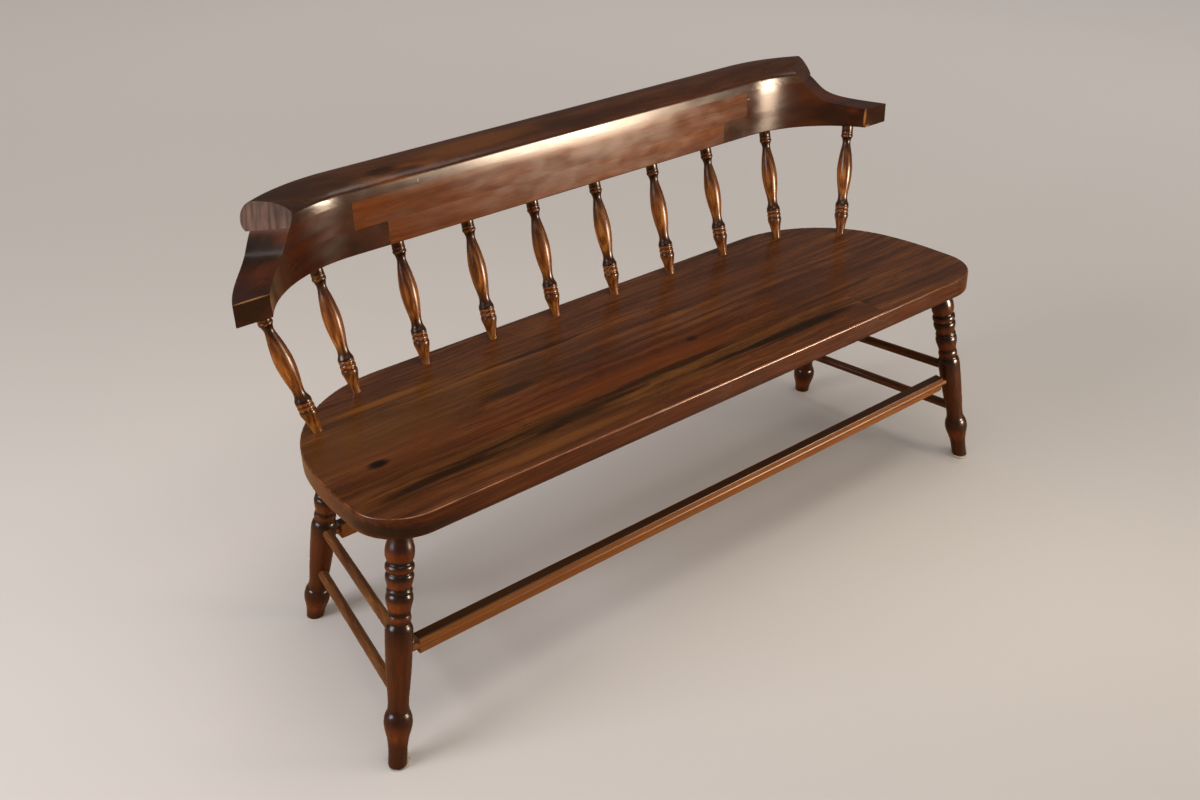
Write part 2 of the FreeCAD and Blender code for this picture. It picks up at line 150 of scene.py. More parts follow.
@dataclass(frozen=True)
class Wood:
    """Wood wiped with a dark oil stain and sprayed with satin lacquer.

    The stain sinks into the soft early wood and the pores, so the eye gets
    dark streaks with warm, lighter lines between, under a smooth soft gloss.
    """

    name: str
    dark: str
    middle: str
    light: str
    cloud: str                          # the stain's colour where it lies thick
    ring_mm: float = 5.0                # spacing of the growth rings on the face
    streak_mm: tuple[float, float] = (260.0, 9.0)   # along the grain and across it, as in the next ones
    fibre_mm: tuple[float, float] = (70.0, 1.6)
    cloud_mm: tuple[float, float] = (260.0, 90.0)
    chip_mm: tuple[float, float] = (40.0, 20.0)     # what breaks up a rubbed arris
    smear_mm: tuple[float, float] = (60.0, 25.0)    # how unevenly the lacquer shines
    streak_share: float = 0.62          # how far the broad streaks show
    ring_share: float = 0.13            # how far the growth rings show
    fibre_share: float = 0.42
    cloud_share: float = 0.5
    figure_spread: float = 0.15         # wider makes the grain quieter
    wander_mm: float = 5.0              # how far the grain strays sideways
    drift_mm: float = 1000 / 7          # over what length it strays
    roughness: float = 0.3
    pore_mm: float = 0.15               # depth that the lacquer leaves in the pores
    worn: str = "#c98a4e"               # bare wood where an arris has rubbed through
    glaze_and_shade_bands: tuple[tuple[float, float], ...] = ()     # millimetres along a turning and how bright it is there: 0 where glazing and painted shade lie, 1 where the stain is wiped off
    glaze_and_shade: str = "#140b07"              # the stain left in a turning's grooves, and the colour of its painted shade
    patches: tuple[Patch, ...] = ()
    end_dark: str = "#46302a"
    end_light: str = "#7a5a4a"
    end_up: tuple[float, float, float] = (0.0, 0.0, 1.0)    # the streaks of the end grain run this way
    end_streak_mm: float = 1000 / 230
    end_squeeze: float = 0.94           # how far the end grain is drawn out into streaks
    end_dry: float = 0.25               # how much rougher a thirsty end is

    def texture(self, tree: bpy.types.NodeTree, vector: Socket, along: float, across: float,
                detail: float) -> Socket:
        """Noise drawn out along the grain.

        Args:
            tree: the material's nodes.
            vector: grain coordinates in metres.
            along: size along the grain in millimetres.
            across: size across the grain in millimetres.
            detail: octaves of finer noise.

        Returns:
            The noise as a value of about 0.2 to 0.8.
        """
        scale = (1 / (along * MM), 1 / (across * MM), 1 / (across * MM))
        placed = add(tree, "Mapping", {"Vector": vector, "Scale": scale})
        noise = add(tree, "TexNoise", {"Vector": placed.outputs[0], "Scale": 1.0, "Detail": detail,
                                       "Roughness": 0.55})
        return noise.outputs[0]

    def grain(self, tree: bpy.types.NodeTree) -> tuple[Socket, Socket, Socket]:
        """The grain's coordinates, its streaks and its fibres.

        Args:
            tree: the material's nodes.

        Returns:
            Warped coordinates, the broad figure and the fine fibres.
        """
        coordinates = add(tree, "Attribute", attribute_name="grain").outputs["Vector"]
        drift = add(tree, "TexNoise", {"Vector": coordinates, "Scale": 1 / (self.drift_mm * MM),
                                       "Detail": 2.0})
        centred = add(tree, "VectorMath", {0: drift.outputs["Color"], 1: (0.5, 0.5, 0.5)},
                      operation="SUBTRACT")
        wander = 4 * self.wander_mm * MM    # the noise strays by about a quarter either way
        warped = add(tree, "VectorMath", {0: centred.outputs[0], 1: (0.0, wander, wander), 2: coordinates},
                     operation="MULTIPLY_ADD").outputs[0]
        streaks = self.texture(tree, warped, *self.streak_mm, 5.0)
        fibres = self.texture(tree, warped, *self.fibre_mm, 3.0)
        return warped, streaks, fibres

    def figure(self, tree: bpy.types.NodeTree, warped: Socket, streaks: Socket, fibres: Socket) -> Socket:
        """Streaks, growth rings and fibres as one value from dark to light.

        Args:
            tree: the material's nodes.
            warped: warped grain coordinates.
            streaks: the broad figure.
            fibres: the fine fibres.

        Returns:
            A value from 0 to 1.
        """
        ring_scale = RING_PITCH / (self.ring_mm * MM)
        slant = 0.035       # a ring runs out of the face slowly along the grain
        slanted = add(tree, "Mapping", {"Vector": warped, "Scale": (slant, 1.0, 1.0)})
        rings = add(tree, "TexWave", {"Vector": slanted.outputs[0], "Scale": ring_scale, "Distortion": 1.6,
                                      "Detail": 2.0, "Detail Scale": 0.4}, wave_type="RINGS",
                    rings_direction="X", wave_profile="SIN")
        broad = add(tree, "Math", {0: streaks, 1: self.streak_share}, operation="MULTIPLY")
        with_rings = add(tree, "Math", {0: rings.outputs[1], 1: self.ring_share, 2: broad.outputs[0]},
                         operation="MULTIPLY_ADD")
        with_fibres = add(tree, "Math", {0: fibres, 1: self.fibre_share, 2: with_rings.outputs[0]},
                          operation="MULTIPLY_ADD")
        middle = (self.streak_share + self.ring_share + self.fibre_share) / 2
        return add(tree, "MapRange", {0: with_fibres.outputs[0], 1: middle - self.figure_spread,
                                      2: middle + self.figure_spread}).outputs[0]

    def coloured(self, tree: bpy.types.NodeTree, figure: Socket) -> Socket:
        """The stained colour of the grain.

        Args:
            tree: the material's nodes.
            figure: the grain as a value from 0 to 1.

        Returns:
            A colour.
        """
        ramp = add(tree, "ValToRGB", {0: figure})
        ramp.color_ramp.elements[0].color = linear(self.dark)
        ramp.color_ramp.elements[1].color = linear(self.light)
        ramp.color_ramp.elements.new(0.5).color = linear(self.middle)
        return ramp.outputs[0]

    def clouded(self, tree: bpy.types.NodeTree, colour: Socket, warped: Socket) -> Socket:
        """Lay the stain's uneven thickness over a colour.

        Args:
            tree: the material's nodes.
            colour: the grain's colour.
            warped: warped grain coordinates.

        Returns:
            A colour.
        """
        thick = self.texture(tree, warped, *self.cloud_mm, 2.0)
        share = add(tree, "MapRange", {0: thick, 1: 0.4, 2: 0.68, 3: 0.0, 4: self.cloud_share})
        mixed = add(tree, "Mix", {0: share.outputs[0], 6: colour, 7: linear(self.cloud)}, data_type="RGBA")
        return mixed.outputs[2]

    def wiped(self, tree: bpy.types.NodeTree, colour: Socket, figure: Socket) -> Socket:
        """Darken a turning band by band along its length: the stain left in its grooves, and painted shade on
        the tops of its beads and bellies.

        Args:
            tree: the material's nodes.
            colour: the wood's colour.
            figure: the grain, which breaks up the edges of the bands.

        Returns:
            A colour.
        """
        along = add(tree, "Attribute", attribute_name="along").outputs["Fac"]
        last = self.glaze_and_shade_bands[-1][0]
        stray = 3.0 / last      # the grain shifts a band's edge by up to 1.5 mm either way
        loose = add(tree, "Math", {0: figure, 1: stray, 2: -stray / 2}, operation="MULTIPLY_ADD")
        share = add(tree, "Math", {0: along, 1: 1 / (last * MM), 2: loose.outputs[0]},
                    operation="MULTIPLY_ADD")
        ramp = add(tree, "ValToRGB", {0: share.outputs[0]})
        stops = ramp.color_ramp.elements
        for number, (place, brightness) in enumerate(self.glaze_and_shade_bands):
            stop = stops[number] if number < 2 else stops.new(place / last)
            stop.position = place / last
            stop.color = (brightness, brightness, brightness, 1.0)
        mixed = add(tree, "Mix", {0: ramp.outputs[0], 6: linear(self.glaze_and_shade), 7: colour}, data_type="RGBA")
        return mixed.outputs[2]

    def marked(self, tree: bpy.types.NodeTree, colour: Socket, patch: Patch, streaks: Socket) -> Socket:
        """Lay one patch over a colour.

        Args:
            tree: the material's nodes.
            colour: the colour under the patch.
            patch: the mark.
            streaks: the figure that breaks up its edge.

        Returns:
            A colour.
        """
        place = add(tree, "TexCoord").outputs["Object"]
        offset = add(tree, "VectorMath", {0: place, 1: tuple(patch.centre)}, operation="SUBTRACT")
        reach = tuple(1 / (size * MM) for size in patch.reach)
        scaled = add(tree, "VectorMath", {0: offset.outputs[0], 1: reach}, operation="MULTIPLY")
        distance = add(tree, "VectorMath", {0: scaled.outputs[0]}, operation="LENGTH").outputs["Value"]
        rough = add(tree, "Math", {0: streaks, 1: 2 * patch.ragged, 2: distance}, operation="MULTIPLY_ADD")
        mask = add(tree, "MapRange", {0: rough.outputs[0], 1: 1.0 + patch.ragged, 2: 0.35 + patch.ragged,
                                      3: 0.0, 4: patch.strength}, interpolation_type="SMOOTHSTEP")
        mixed = add(tree, "Mix", {0: mask.outputs[0], 6: colour, 7: linear(patch.colour)}, data_type="RGBA",
                    blend_type=patch.blend.value)
        return mixed.outputs[2]

    def rubbed(self, tree: bpy.types.NodeTree, colour: Socket, warped: Socket) -> Socket:
        """Show bare wood on the rubbed arrises.

        Args:
            tree: the material's nodes.
            colour: the colour before wear.
            warped: warped grain coordinates.

        Returns:
            A colour.
        """
        wear = add(tree, "Attribute", attribute_name="wear").outputs["Fac"]
        broken = self.texture(tree, warped, *self.chip_mm, 5.0)
        amount = add(tree, "Math", {0: wear, 1: broken, 2: -0.25}, operation="MULTIPLY_ADD")
        mask = add(tree, "MapRange", {0: amount.outputs[0], 1: 0.1, 2: 0.4})
        mixed = add(tree, "Mix", {0: mask.outputs[0], 6: colour, 7: linear(self.worn)}, data_type="RGBA")
        return mixed.outputs[2]

    def end_grained(self, tree: bpy.types.NodeTree, colour: Socket, end: Socket) -> Socket:
        """Show end grain where a saw cut runs across the fibres: it drinks the stain in soft upright streaks.

        Args:
            tree: the material's nodes.
            colour: the colour of the long grain.
            end: how far a face shows end grain, from 0 to 1.

        Returns:
            A colour.
        """
        place = add(tree, "TexCoord").outputs["Object"]
        height = add(tree, "VectorMath", {0: place, 1: self.end_up}, operation="DOT_PRODUCT").outputs["Value"]
        squeeze = tuple(-self.end_squeeze * part for part in self.end_up)
        drawn = add(tree, "VectorMath", {0: height, 1: squeeze, 2: place}, operation="MULTIPLY_ADD")
        streaks = add(tree, "TexNoise", {"Vector": drawn.outputs[0], "Scale": 1 / (self.end_streak_mm * MM),
                                         "Detail": 3.0})
        share = add(tree, "MapRange", {0: streaks.outputs[0], 1: 0.32, 2: 0.68})
        drunk = add(tree, "Mix", {0: share.outputs[0], 6: linear(self.end_dark), 7: linear(self.end_light)},
                    data_type="RGBA")
        mixed = add(tree, "Mix", {0: end, 6: colour, 7: drunk.outputs[2]}, data_type="RGBA")
        return mixed.outputs[2]

    def material(self) -> bpy.types.Material:
        """The finish as a Blender material.

        Returns:
            The new material.
        """
        made = bpy.data.materials.new(self.name)
        made.use_nodes = True
        tree = made.node_tree
        tree.nodes.clear()
        warped, streaks, fibres = self.grain(tree)
        figure = self.figure(tree, warped, streaks, fibres)
        colour = self.clouded(tree, self.coloured(tree, figure), warped)
        end = add(tree, "Attribute", attribute_name="end").outputs["Fac"]
        colour = self.end_grained(tree, colour, end)
        for patch in self.patches:
            colour = self.marked(tree, colour, patch, streaks)
        if self.glaze_and_shade_bands:
            colour = self.wiped(tree, colour, figure)
        colour = self.rubbed(tree, colour, warped)
        uneven = self.texture(tree, warped, *self.smear_mm, 2.0)
        rough = add(tree, "MapRange", {0: uneven, 1: 0.3, 2: 0.7, 3: self.roughness - 0.04,
                                       4: self.roughness + 0.06})
        dry = add(tree, "Math", {0: end, 1: self.end_dry, 2: rough.outputs[0]}, operation="MULTIPLY_ADD")
        bump = add(tree, "Bump", {"Height": fibres, "Strength": 0.1, "Distance": self.pore_mm * MM})
        shader = add(tree, "BsdfPrincipled", {"Base Color": colour, "Roughness": dry.outputs[0],
                                              "IOR": LACQUER_IOR, "Normal": bump.outputs[0]})
        add(tree, "OutputMaterial", {0: shader.outputs[0]})
        return made


@dataclass(frozen=True)
class Felt:
    """Needled wool felt, die-cut: matt, a little hairy, grey with floor dirt at its edge."""

    name: str = "needled_wool_felt"
    colour: str = "#d6cfbd"
    dirt: str = "#8f8672"
    dirt_mm: float = 6.25
    fibre_mm: float = 0.6
    nap_mm: float = 0.4                 # height of its hairs

    def material(self) -> bpy.types.Material:
        """The finish as a Blender material.

        Returns:
            The new material.
        """
        made = bpy.data.materials.new(self.name)
        made.use_nodes = True
        tree = made.node_tree
        tree.nodes.clear()
        place = add(tree, "TexCoord").outputs["Object"]
        hairs = add(tree, "TexNoise", {"Vector": place, "Scale": 1 / (self.fibre_mm * MM), "Detail": 4.0})
        soiled = add(tree, "TexNoise", {"Vector": place, "Scale": 1 / (self.dirt_mm * MM), "Detail": 2.0})
        share = add(tree, "MapRange", {0: soiled.outputs[0], 1: 0.4, 2: 0.75, 3: 0.0, 4: 0.7})
        mixed = add(tree, "Mix", {0: share.outputs[0], 6: linear(self.colour), 7: linear(self.dirt)},
                    data_type="RGBA")
        bump = add(tree, "Bump", {"Height": hairs.outputs[0], "Strength": 0.6, "Distance": self.nap_mm * MM})
        shader = add(tree, "BsdfPrincipled", {"Base Color": mixed.outputs[2], "Roughness": 0.95,
                                              "Sheen Weight": 0.3, "Normal": bump.outputs[0]})
        add(tree, "OutputMaterial", {0: shader.outputs[0]})
        return made


@dataclass(frozen=True)
class Seam:
    """A plane or a bore where two pieces meet, so that its edges aren't eased."""

    point: Vector
    direction: Vector                   # the plane's normal, or the bore's axis
    radius: float = 0.0                 # the bore's reach in metres, or 0 for a plane
    front: float = -math.inf            # no seam in front of this Y, where only one piece is left

    def holds(self, edge: bmesh.types.BMEdge) -> bool:
        """Whether an edge lies at the seam.

        Args:
            edge: an edge of a piece.

        Returns:
            True where both ends lie in the plane or inside the bore's reach.
        """
        for vertex in edge.verts:
            offset = vertex.co - self.point
            height = offset.dot(self.direction)
            away = (offset - self.direction * height).length - self.radius if self.radius else abs(height)
            if away > SEAM_GAP or vertex.co.y < self.front:
                return False
        return True


@dataclass
class Worked:
    """A piece of the bench made over from its CAD node."""

    node: str
    material: bpy.types.Material
    slot: str
    along: Vector                       # direction of the grain
    up: Vector                          # sets how the grain is turned about that direction
    origin: Vector                      # where the grain's coordinates start
    pattern: int                        # moves the pattern, so that no two pieces are alike
    arris_mm: float = 0.0               # width that a sharp edge is eased to
    keep_sharp: float = math.radians(35)
    flat: bool = False                  # broad flat faces keep their own normals beside rounded edges
    seams: tuple[Seam, ...] = ()
    shaped: Callable[[bmesh.types.BMesh], None] | None = None
    worn: Callable[[bmesh.types.BMFace], float] | None = None
    end_cut: Callable[[bmesh.types.BMFace], float] | None = None

    def is_arris(self, edge: bmesh.types.BMEdge) -> bool:
        """Whether an edge is a sharp outer one, and not at a seam.

        Args:
            edge: an edge of the merged copy.

        Returns:
            True where the edge is to be eased.
        """
        if not edge.is_manifold or edge.calc_face_angle() < self.keep_sharp:
            return False
        return not any(seam.holds(edge) for seam in self.seams)

    def mesh(self) -> bmesh.types.BMesh:
        """A merged copy of the node's mesh with flat faces whole and sharp edges eased.

        Returns:
            The new bmesh.
        """
        bm = bmesh.new()
        bm.from_mesh(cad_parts[self.node].data)
        wear = bm.faces.layers.float.new("wear")
        bmesh.ops.remove_doubles(bm, verts=bm.verts, dist=MERGE_GAP)
        bmesh.ops.dissolve_limit(bm, angle_limit=FLAT_TURN, verts=bm.verts, edges=bm.edges)
        if self.shaped:
            self.shaped(bm)
        eased = list(bm.faces)
        if self.arris_mm:
            sharp = [edge for edge in bm.edges if self.is_arris(edge)]
            eased = bmesh.ops.bevel(bm, geom=sharp, offset=self.arris_mm * MM, offset_type="OFFSET",
                                    affect="EDGES", segments=3, profile=0.5, material=-1,
                                    clamp_overlap=True)["faces"]
        if self.worn:
            for face in eased:
                face[wear] = self.worn(face)
        return bm

    def build(self) -> bpy.types.Object:
        """Make the piece, dress it and put it in the CAD node's place.

        Returns:
            The finished object.
        """
        bm = self.mesh()
        end = bm.faces.layers.float.new("end")
        for face in bm.faces:
            face.smooth = True
            face[end] = self.end_cut(face) if self.end_cut else 0.0
        made = bpy.data.meshes.new(self.node + "_finished")
        bm.to_mesh(made)
        bm.free()
        made.set_sharp_from_angle(angle=self.keep_sharp)
        self.write_grain(made)
        piece = bpy.data.objects.new(self.node + "_finished", made)
        bpy.context.scene.collection.objects.link(piece)
        made.materials.append(self.material)
        if self.flat:
            weighted = piece.modifiers.new("flat_face_normals", "WEIGHTED_NORMAL")
            weighted.keep_sharp = True
        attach(piece, BODY)
        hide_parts(self.node)
        log.info("%s: %d faces", piece.name, len(made.polygons))
        return piece

    def write_grain(self, made: bpy.types.Mesh) -> None:
        """Store each point's place in the plank and its distance along a turning.

        Args:
            made: the piece's mesh.
        """
        across = self.up.cross(self.along).normalized()
        depth = self.along.cross(across)
        plank, distances = [], []
        for vertex in made.vertices:
            offset = vertex.co - self.origin
            local = Vector((offset.dot(self.along), offset.dot(across), offset.dot(depth)))
            plank.extend(local + PATTERN_STEP * self.pattern)
            distances.append(local.x)
        made.attributes.new("grain", "FLOAT_VECTOR", "POINT").data.foreach_set("vector", plank)
        made.attributes.new("along", "FLOAT", "POINT").data.foreach_set("value", distances)


@dataclass
class PlankSeat:
    """The seat's four boards, edge glued, with a rounded and rubbed front arris."""

    edge_round_mm: float = 3.0
    rubbed_slopes: tuple[float, float] = (0.5, 0.88)    # how far up a face looks where it rubs through
    sat_on_mm: tuple[float, float] = (-250.0, 350.0)    # the stretch of the front that is rubbed most
    sat_on_wear: float = 1.1
    front_wear: float = 0.85
    side_wear: float = 0.75
    edge_soak: float = 0.7              # how far the grain of the upright edge drowns in the stain
    boards: tuple[str, ...] = ("seat_board_front_left", "seat_board_front_right", "seat_board_middle",
                               "seat_board_back")

    def stains_and_edge_shade(self) -> tuple[Patch, ...]:
        """Broad places where the stain lies paler, darker, browner or redder, and one band of painted shade.

        Returns:
            The stained places and the band of painted shade.
        """
        return (
            Patch(leaned(-520, 200), (150, 90, 20), "#7c4720", 0.22, 0.7),
            Patch(leaned(-600, 40, -20), (170, 120, 16), "#180c07", 0.85, 0.4),
            # painted shade: a dark band along the seat's lower front edge and its rounding underneath, where
            # light falls away
            Patch(leaned(0, 0, -34), (900, 20, 9), "#2c150b", 0.6, 0.6),
            Patch(leaned(-150, 75), (600, 45, 30), "#4d3a17", 0.25, 0.5, Blend.TINT),
            Patch(leaned(-400, 250), (330, 110, 30), "#62400f", 0.32, 0.5, Blend.TINT),
            Patch(leaned(-120, 150), (560, 75, 30), "#5c2810", 0.35, 0.5, Blend.TINT),
        )

    def streaks(self) -> tuple[Patch, ...]:
        """Pale streaks of early wood, and near-black ones where the stain sank in.

        Returns:
            The streaks.
        """
        pale = (
            Patch(leaned(-60, 118), (240, 30, 20), "#6b3415", 0.45, 0.9),
            Patch(leaned(-330, 30), (220, 14, 20), "#7a4a1e", 0.5, 0.9),
            Patch(leaned(300, 280), (240, 20, 20), "#6b3a1a", 0.4, 0.9),
            Patch(leaned(-450, 308), (130, 11, 20), "#8a5218", 0.6, 0.5),
        )
        dark = (
            Patch(leaned(200, 200), (300, 12, 20), "#1c0f09", 0.5, 0.9),
            Patch(leaned(360, 110), (200, 10, 20), "#1c0f09", 0.5, 0.9),
            Patch(leaned(-505, 70), (200, 16, 14), "#120b07", 0.85, 0.8),
            Patch(leaned(-280, 74), (200, 14, 14), "#150e09", 0.8, 0.8),
            Patch(leaned(-60, 92), (170, 14, 14), "#17100a", 0.75, 0.8),
            Patch(leaned(210, 58), (220, 16, 14), "#17100a", 0.85, 0.8),
            Patch(leaned(-180, 285), (160, 9, 20), "#160c08", 0.7, 0.9),
            Patch(leaned(-290, 205), (60, 14, 20), "#160c08", 0.6, 0.8),
        )
        return pale + dark

    def knots(self) -> tuple[Patch, ...]:
        """Two small knots, black with stain."""
        return (Patch(leaned(-550, 152), (24, 15, 20), "#0d0605", 0.95, 0.3),
                Patch(leaned(45, 147), (16, 9, 20), "#1a0c0a", 0.8, 0.3))

    def finish(self) -> Wood:
        """Dark walnut stain on flat-sawn pine, which gives long dark streaks under a satin gloss.

        Returns:
            The seat's finish.
        """
        return Wood("walnut_stained_pine_seat", dark="#28140a", middle="#583017", light="#834d22",
                    cloud="#371c0e", streak_mm=(600.0, 11.0), fibre_mm=(130.0, 1.3), cloud_share=0.6,
                    figure_spread=0.22, roughness=0.22, ring_share=0.06, worn="#a8663a",
                    end_dark="#3b1707", end_light="#692d0e", end_up=(1.0, 0.0, 0.0), end_dry=0.0,
                    patches=(*self.stains_and_edge_shade(), *self.streaks(), *self.knots()))

    def rubbed(self, face: bmesh.types.BMFace) -> float:
        """How far a face of the top arris has rubbed through.

        Args:
            face: a face of a board.

        Returns:
            Wear, from 0 to a little over 1.
        """
        offset = (face.calc_center_median() - SEAT_ORIGIN) / MM
        steepest, flattest = self.rubbed_slopes
        on_round = -self.edge_round_mm < offset.dot(UP) < -0.05
        if not (on_round and steepest < face.normal.dot(UP) < flattest):
            return 0.0
        if face.normal.dot(FRONTWARDS) < 0.3:
            return self.side_wear
        left, right = self.sat_on_mm
        return self.sat_on_wear if left < offset.x < right else self.front_wear

    def soaked(self, face: bmesh.types.BMFace) -> float:
        """How far a face's grain drowns in the stain: only on the upright edge all round the seat."""
        return self.edge_soak if abs(face.normal.dot(UP)) < 0.5 else 0.0

    def build(self) -> list[bpy.types.Object]:
        """Make the boards.

        Returns:
            The boards.
        """
        wood = self.finish().material()
        return [Worked(board, wood, "seat_boards", LENGTH, UP, SEAT_ORIGIN, number, flat=True,
                       worn=self.rubbed, end_cut=self.soaked).build()
                for number, board in enumerate(self.boards)]


@dataclass
class BowedRail:
    """The arm rail's two glued layers and the rolled crest over them."""

    arris_mm: float = 1.2
    arm_arris_mm: float = 1.6
    joint_heights_mm: tuple[float, float] = (241.5, 286.0)  # over the lower and the middle layer
    joint_x_mm: tuple[float, float] = (355.0, 412.5)        # in the lower and the middle layer
    bore_mm: float = 7.0
    ease_from_mm: float = 272.0         # the front face falls back from here up to the roll
    ease_to_mm: float = 297.4
    ease_end_mm: float = 308.4
    ease_depth_mm: float = 1.0
    ease_steps: int = 6
    bow_middle_mm: tuple[float, float] = (0.0, 150.0)
    face_y_mm: float = 401.0            # front face of the straight part
    crest_end_facing: tuple[float, float, float] = (-0.41, -0.716, 0.562)   # in the level layout
    crest_end_x_mm: float = -500.0      # the crest's left end lies beyond this
    arm_end_mm: tuple[float, float] = (590.0, 290.0)    # the arms are sawn off outside this X, before this Y
    hand_mm: tuple[float, float] = (580.0, 310.0)       # hands rub them outside this X, before this Y
    hand_wear: float = 1.15
    bend_x_mm: float = 500.0
    bend_wear: float = 0.75
    lower_arris_mm: float = 205.0       # the lowest arris of the bow lies under this height
    lower_wear: float = 0.9
    first_pattern: int = 7

    def crest_marks(self) -> tuple[Patch, ...]:
        """A darker left bend, paler streaks, two black marks and two nicks in the face.

        Returns:
            The marks.
        """
        return (
            Patch(leaned(-480, 390, 316), (130, 80, 30), "#2b1f16", 0.45, 0.6),
            Patch(leaned(-180, 428, 318), (150, 22, 14), "#6e421e", 0.5, 0.9),
            Patch(leaned(-325, 412, 310), (90, 18, 14), "#7c4518", 0.5, 0.8),
            Patch(leaned(-345, 420, 314), (44, 15, 12), "#16100d", 0.75, 0.9),
            Patch(leaned(-305, 408, 309), (36, 12, 11), "#16100d", 0.7, 0.9),
            Patch(leaned(-330, 404, 300), (60, 6, 5), "#7c4518", 0.6, 0.5),
            Patch(leaned(-295, self.face_y_mm, 292), (1.0, 3, 4), "#d8b48c", 0.9, 0.1),
            Patch(leaned(12, self.face_y_mm, 292), (2.2, 3, 1.6), "#1c0f08", 0.8, 0.1),
        )

    def crest_finish(self) -> Wood:
        """Dark walnut stain on pine: the darkest of the bow, with a soft broad figure.

        Returns:
            The crest's finish.
        """
        return Wood("walnut_stained_pine_crest", dark="#2b170d", middle="#4c2b19", light="#734423",
                    cloud="#2b1a12", streak_mm=(500.0, 18.0), fibre_mm=(160.0, 1.8), cloud_share=0.6,
                    cloud_mm=(180.0, 50.0), figure_spread=0.32, roughness=0.22, ring_share=0.03,
                    end_up=(0.278, 0.486, 0.827), patches=self.crest_marks())

    def dents(self) -> tuple[Patch, ...]:
        """Small dents in the front face, dark with stain.

        Returns:
            The dents.
        """
        places = ((-136, 280, 2.0), (172, 261, 2.6), (32, 270, 1.8), (50, 284, 2.2), (120, 262, 1.6),
                  (-292, 285, 1.8), (-60, 268, 1.4), (96, 277, 1.5), (-215, 262, 1.4))
        return tuple(Patch(leaned(x, self.face_y_mm, height), (size, 4, 0.7 * size), "#1c0f08", 0.85, 0.1)
                     for x, height, size in places)

    def layer_finish(self) -> Wood:
        """Mid walnut stain on pine, wiped thinner, so that it shines a warm red brown.

        Returns:
            The finish of the rail's straight lengths.
        """
        return Wood("walnut_stained_pine_rail", dark="#53240d", middle="#7b3f17", light="#9e5a25",
                    cloud="#552910", streak_mm=(400.0, 9.0), fibre_mm=(60.0, 1.0), cloud_share=0.55,
                    cloud_mm=(130.0, 30.0), figure_spread=0.24, roughness=0.2, ring_share=0.04,
                    patches=self.dents(), worn="#96481c")

    def arm_marks(self) -> tuple[Patch, ...]:
        """Thick stain about the arms' ends, and the pale lines where hands rubbed their corners.

        Returns:
            The marks.
        """
        return (
            Patch(leaned(-585, 372, 266), (55, 50, 26), "#1b130d", 0.85, 0.4),
            Patch(leaned(-640, 290, 235), (60, 70, 60), "#1c0e09", 0.7, 0.4),
            Patch(leaned(640, 290, 235), (60, 80, 60), "#1f100a", 0.6, 0.4),
            Patch(leaned(575, 325, 222), (62, 50, 40), "#1d0f0b", 0.65, 0.5),
            Patch(leaned(-640, 286, 236.5), (34, 2.2, 1.5), "#b98658", 0.85, 0.3),
            Patch(leaned(-611.5, 287, 218), (2.0, 3, 22), "#a8734a", 0.7, 0.5),
            Patch(leaned(611.5, 287.5, 220), (2.4, 3.5, 24), "#c07a3c", 0.95, 0.3),
            Patch(leaned(618, 286, 204), (9, 3, 4), "#c98a4a", 0.85, 0.4),
        )

    def arm_finish(self) -> Wood:
        """Dark walnut stain on pine, thick on the bends, so that the grain hardly shows.

        Returns:
            The finish of the bends and arms.
        """
        return Wood("walnut_stained_pine_arm", dark="#30130a", middle="#50250f", light="#6c3416",
                    cloud="#25130b", streak_mm=(300.0, 16.0), fibre_mm=(120.0, 1.6), cloud_share=0.7,
                    cloud_mm=(120.0, 45.0), figure_spread=0.42, ring_share=0.02, roughness=0.2,
                    end_dark="#1a0c08", end_light="#32180f", worn="#b98658", patches=self.arm_marks())

    def ease_face(self, bm: bmesh.types.BMesh) -> None:
        """Let the front face fall back a little towards the roll, as sanding leaves it.

        Args:
            bm: a layer's mesh, changed in place.
        """
        rise = self.ease_to_mm - self.ease_from_mm
        levels = [self.ease_from_mm + step * rise / self.ease_steps for step in range(self.ease_steps)]
        for level in levels:
            bmesh.ops.bisect_plane(bm, geom=[*bm.verts, *bm.edges, *bm.faces], dist=0.02 * MM,
                                   plane_co=leaned(0, 0, level), plane_no=UP)
        middle = leaned(*self.bow_middle_mm)
        moves = []
        for vertex in bm.verts:
            height = (vertex.co - SEAT_ORIGIN).dot(UP) / MM
            if not self.ease_from_mm < height < self.ease_end_mm:
                continue
            inward = Vector()
            for face in vertex.link_faces:
                upright = face.normal.cross(UP).length > 0.3
                if upright and face.normal.dot(middle - face.calc_center_median()) > 0:
                    inward += face.normal - UP * face.normal.dot(UP)
            if inward.length < 0.01:
                continue
            if height < self.ease_to_mm + 0.1:
                share = ((height - self.ease_from_mm) / rise) ** 2
            else:
                share = (self.ease_end_mm - height) / (self.ease_end_mm - self.ease_to_mm)
            moves.append((vertex, inward.normalized() * -share * self.ease_depth_mm * MM))
        for vertex, move in moves:
            vertex.co += move

    def rubbed(self, face: bmesh.types.BMFace) -> float:
        """How far an eased arris of the bow has rubbed through.

        Args:
            face: a face of an eased arris.

        Returns:
            Wear, from 0 to a little over 1.
        """
        place = (face.calc_center_median() - SEAT_ORIGIN) / MM
        hand_x, hand_y = self.hand_mm
        if abs(place.x) > hand_x and place.y < hand_y:
            return self.hand_wear
        if abs(place.x) > self.bend_x_mm:
            return self.bend_wear
        return self.lower_wear if place.dot(UP) < self.lower_arris_mm else 0.0

    def cut_end(self, face: bmesh.types.BMFace) -> float:
        """Whether a face shows end grain: the crest's pale left end or a sawn end of an arm.

        Args:
            face: a face of the bow.

        Returns:
            1 on such an end, and 0 elsewhere.
        """
        place = (face.calc_center_median() - SEAT_ORIGIN) / MM
        if place.dot(UP) > self.joint_heights_mm[1]:
            facing = LEAN @ Vector(self.crest_end_facing)
            return float(place.x < self.crest_end_x_mm and face.normal.dot(facing) > 0.97)
        end_x, end_y = self.arm_end_mm
        sawn = abs(place.x) > end_x and place.y < end_y
        return float(sawn and face.normal.dot(FRONTWARDS) > 0.9)

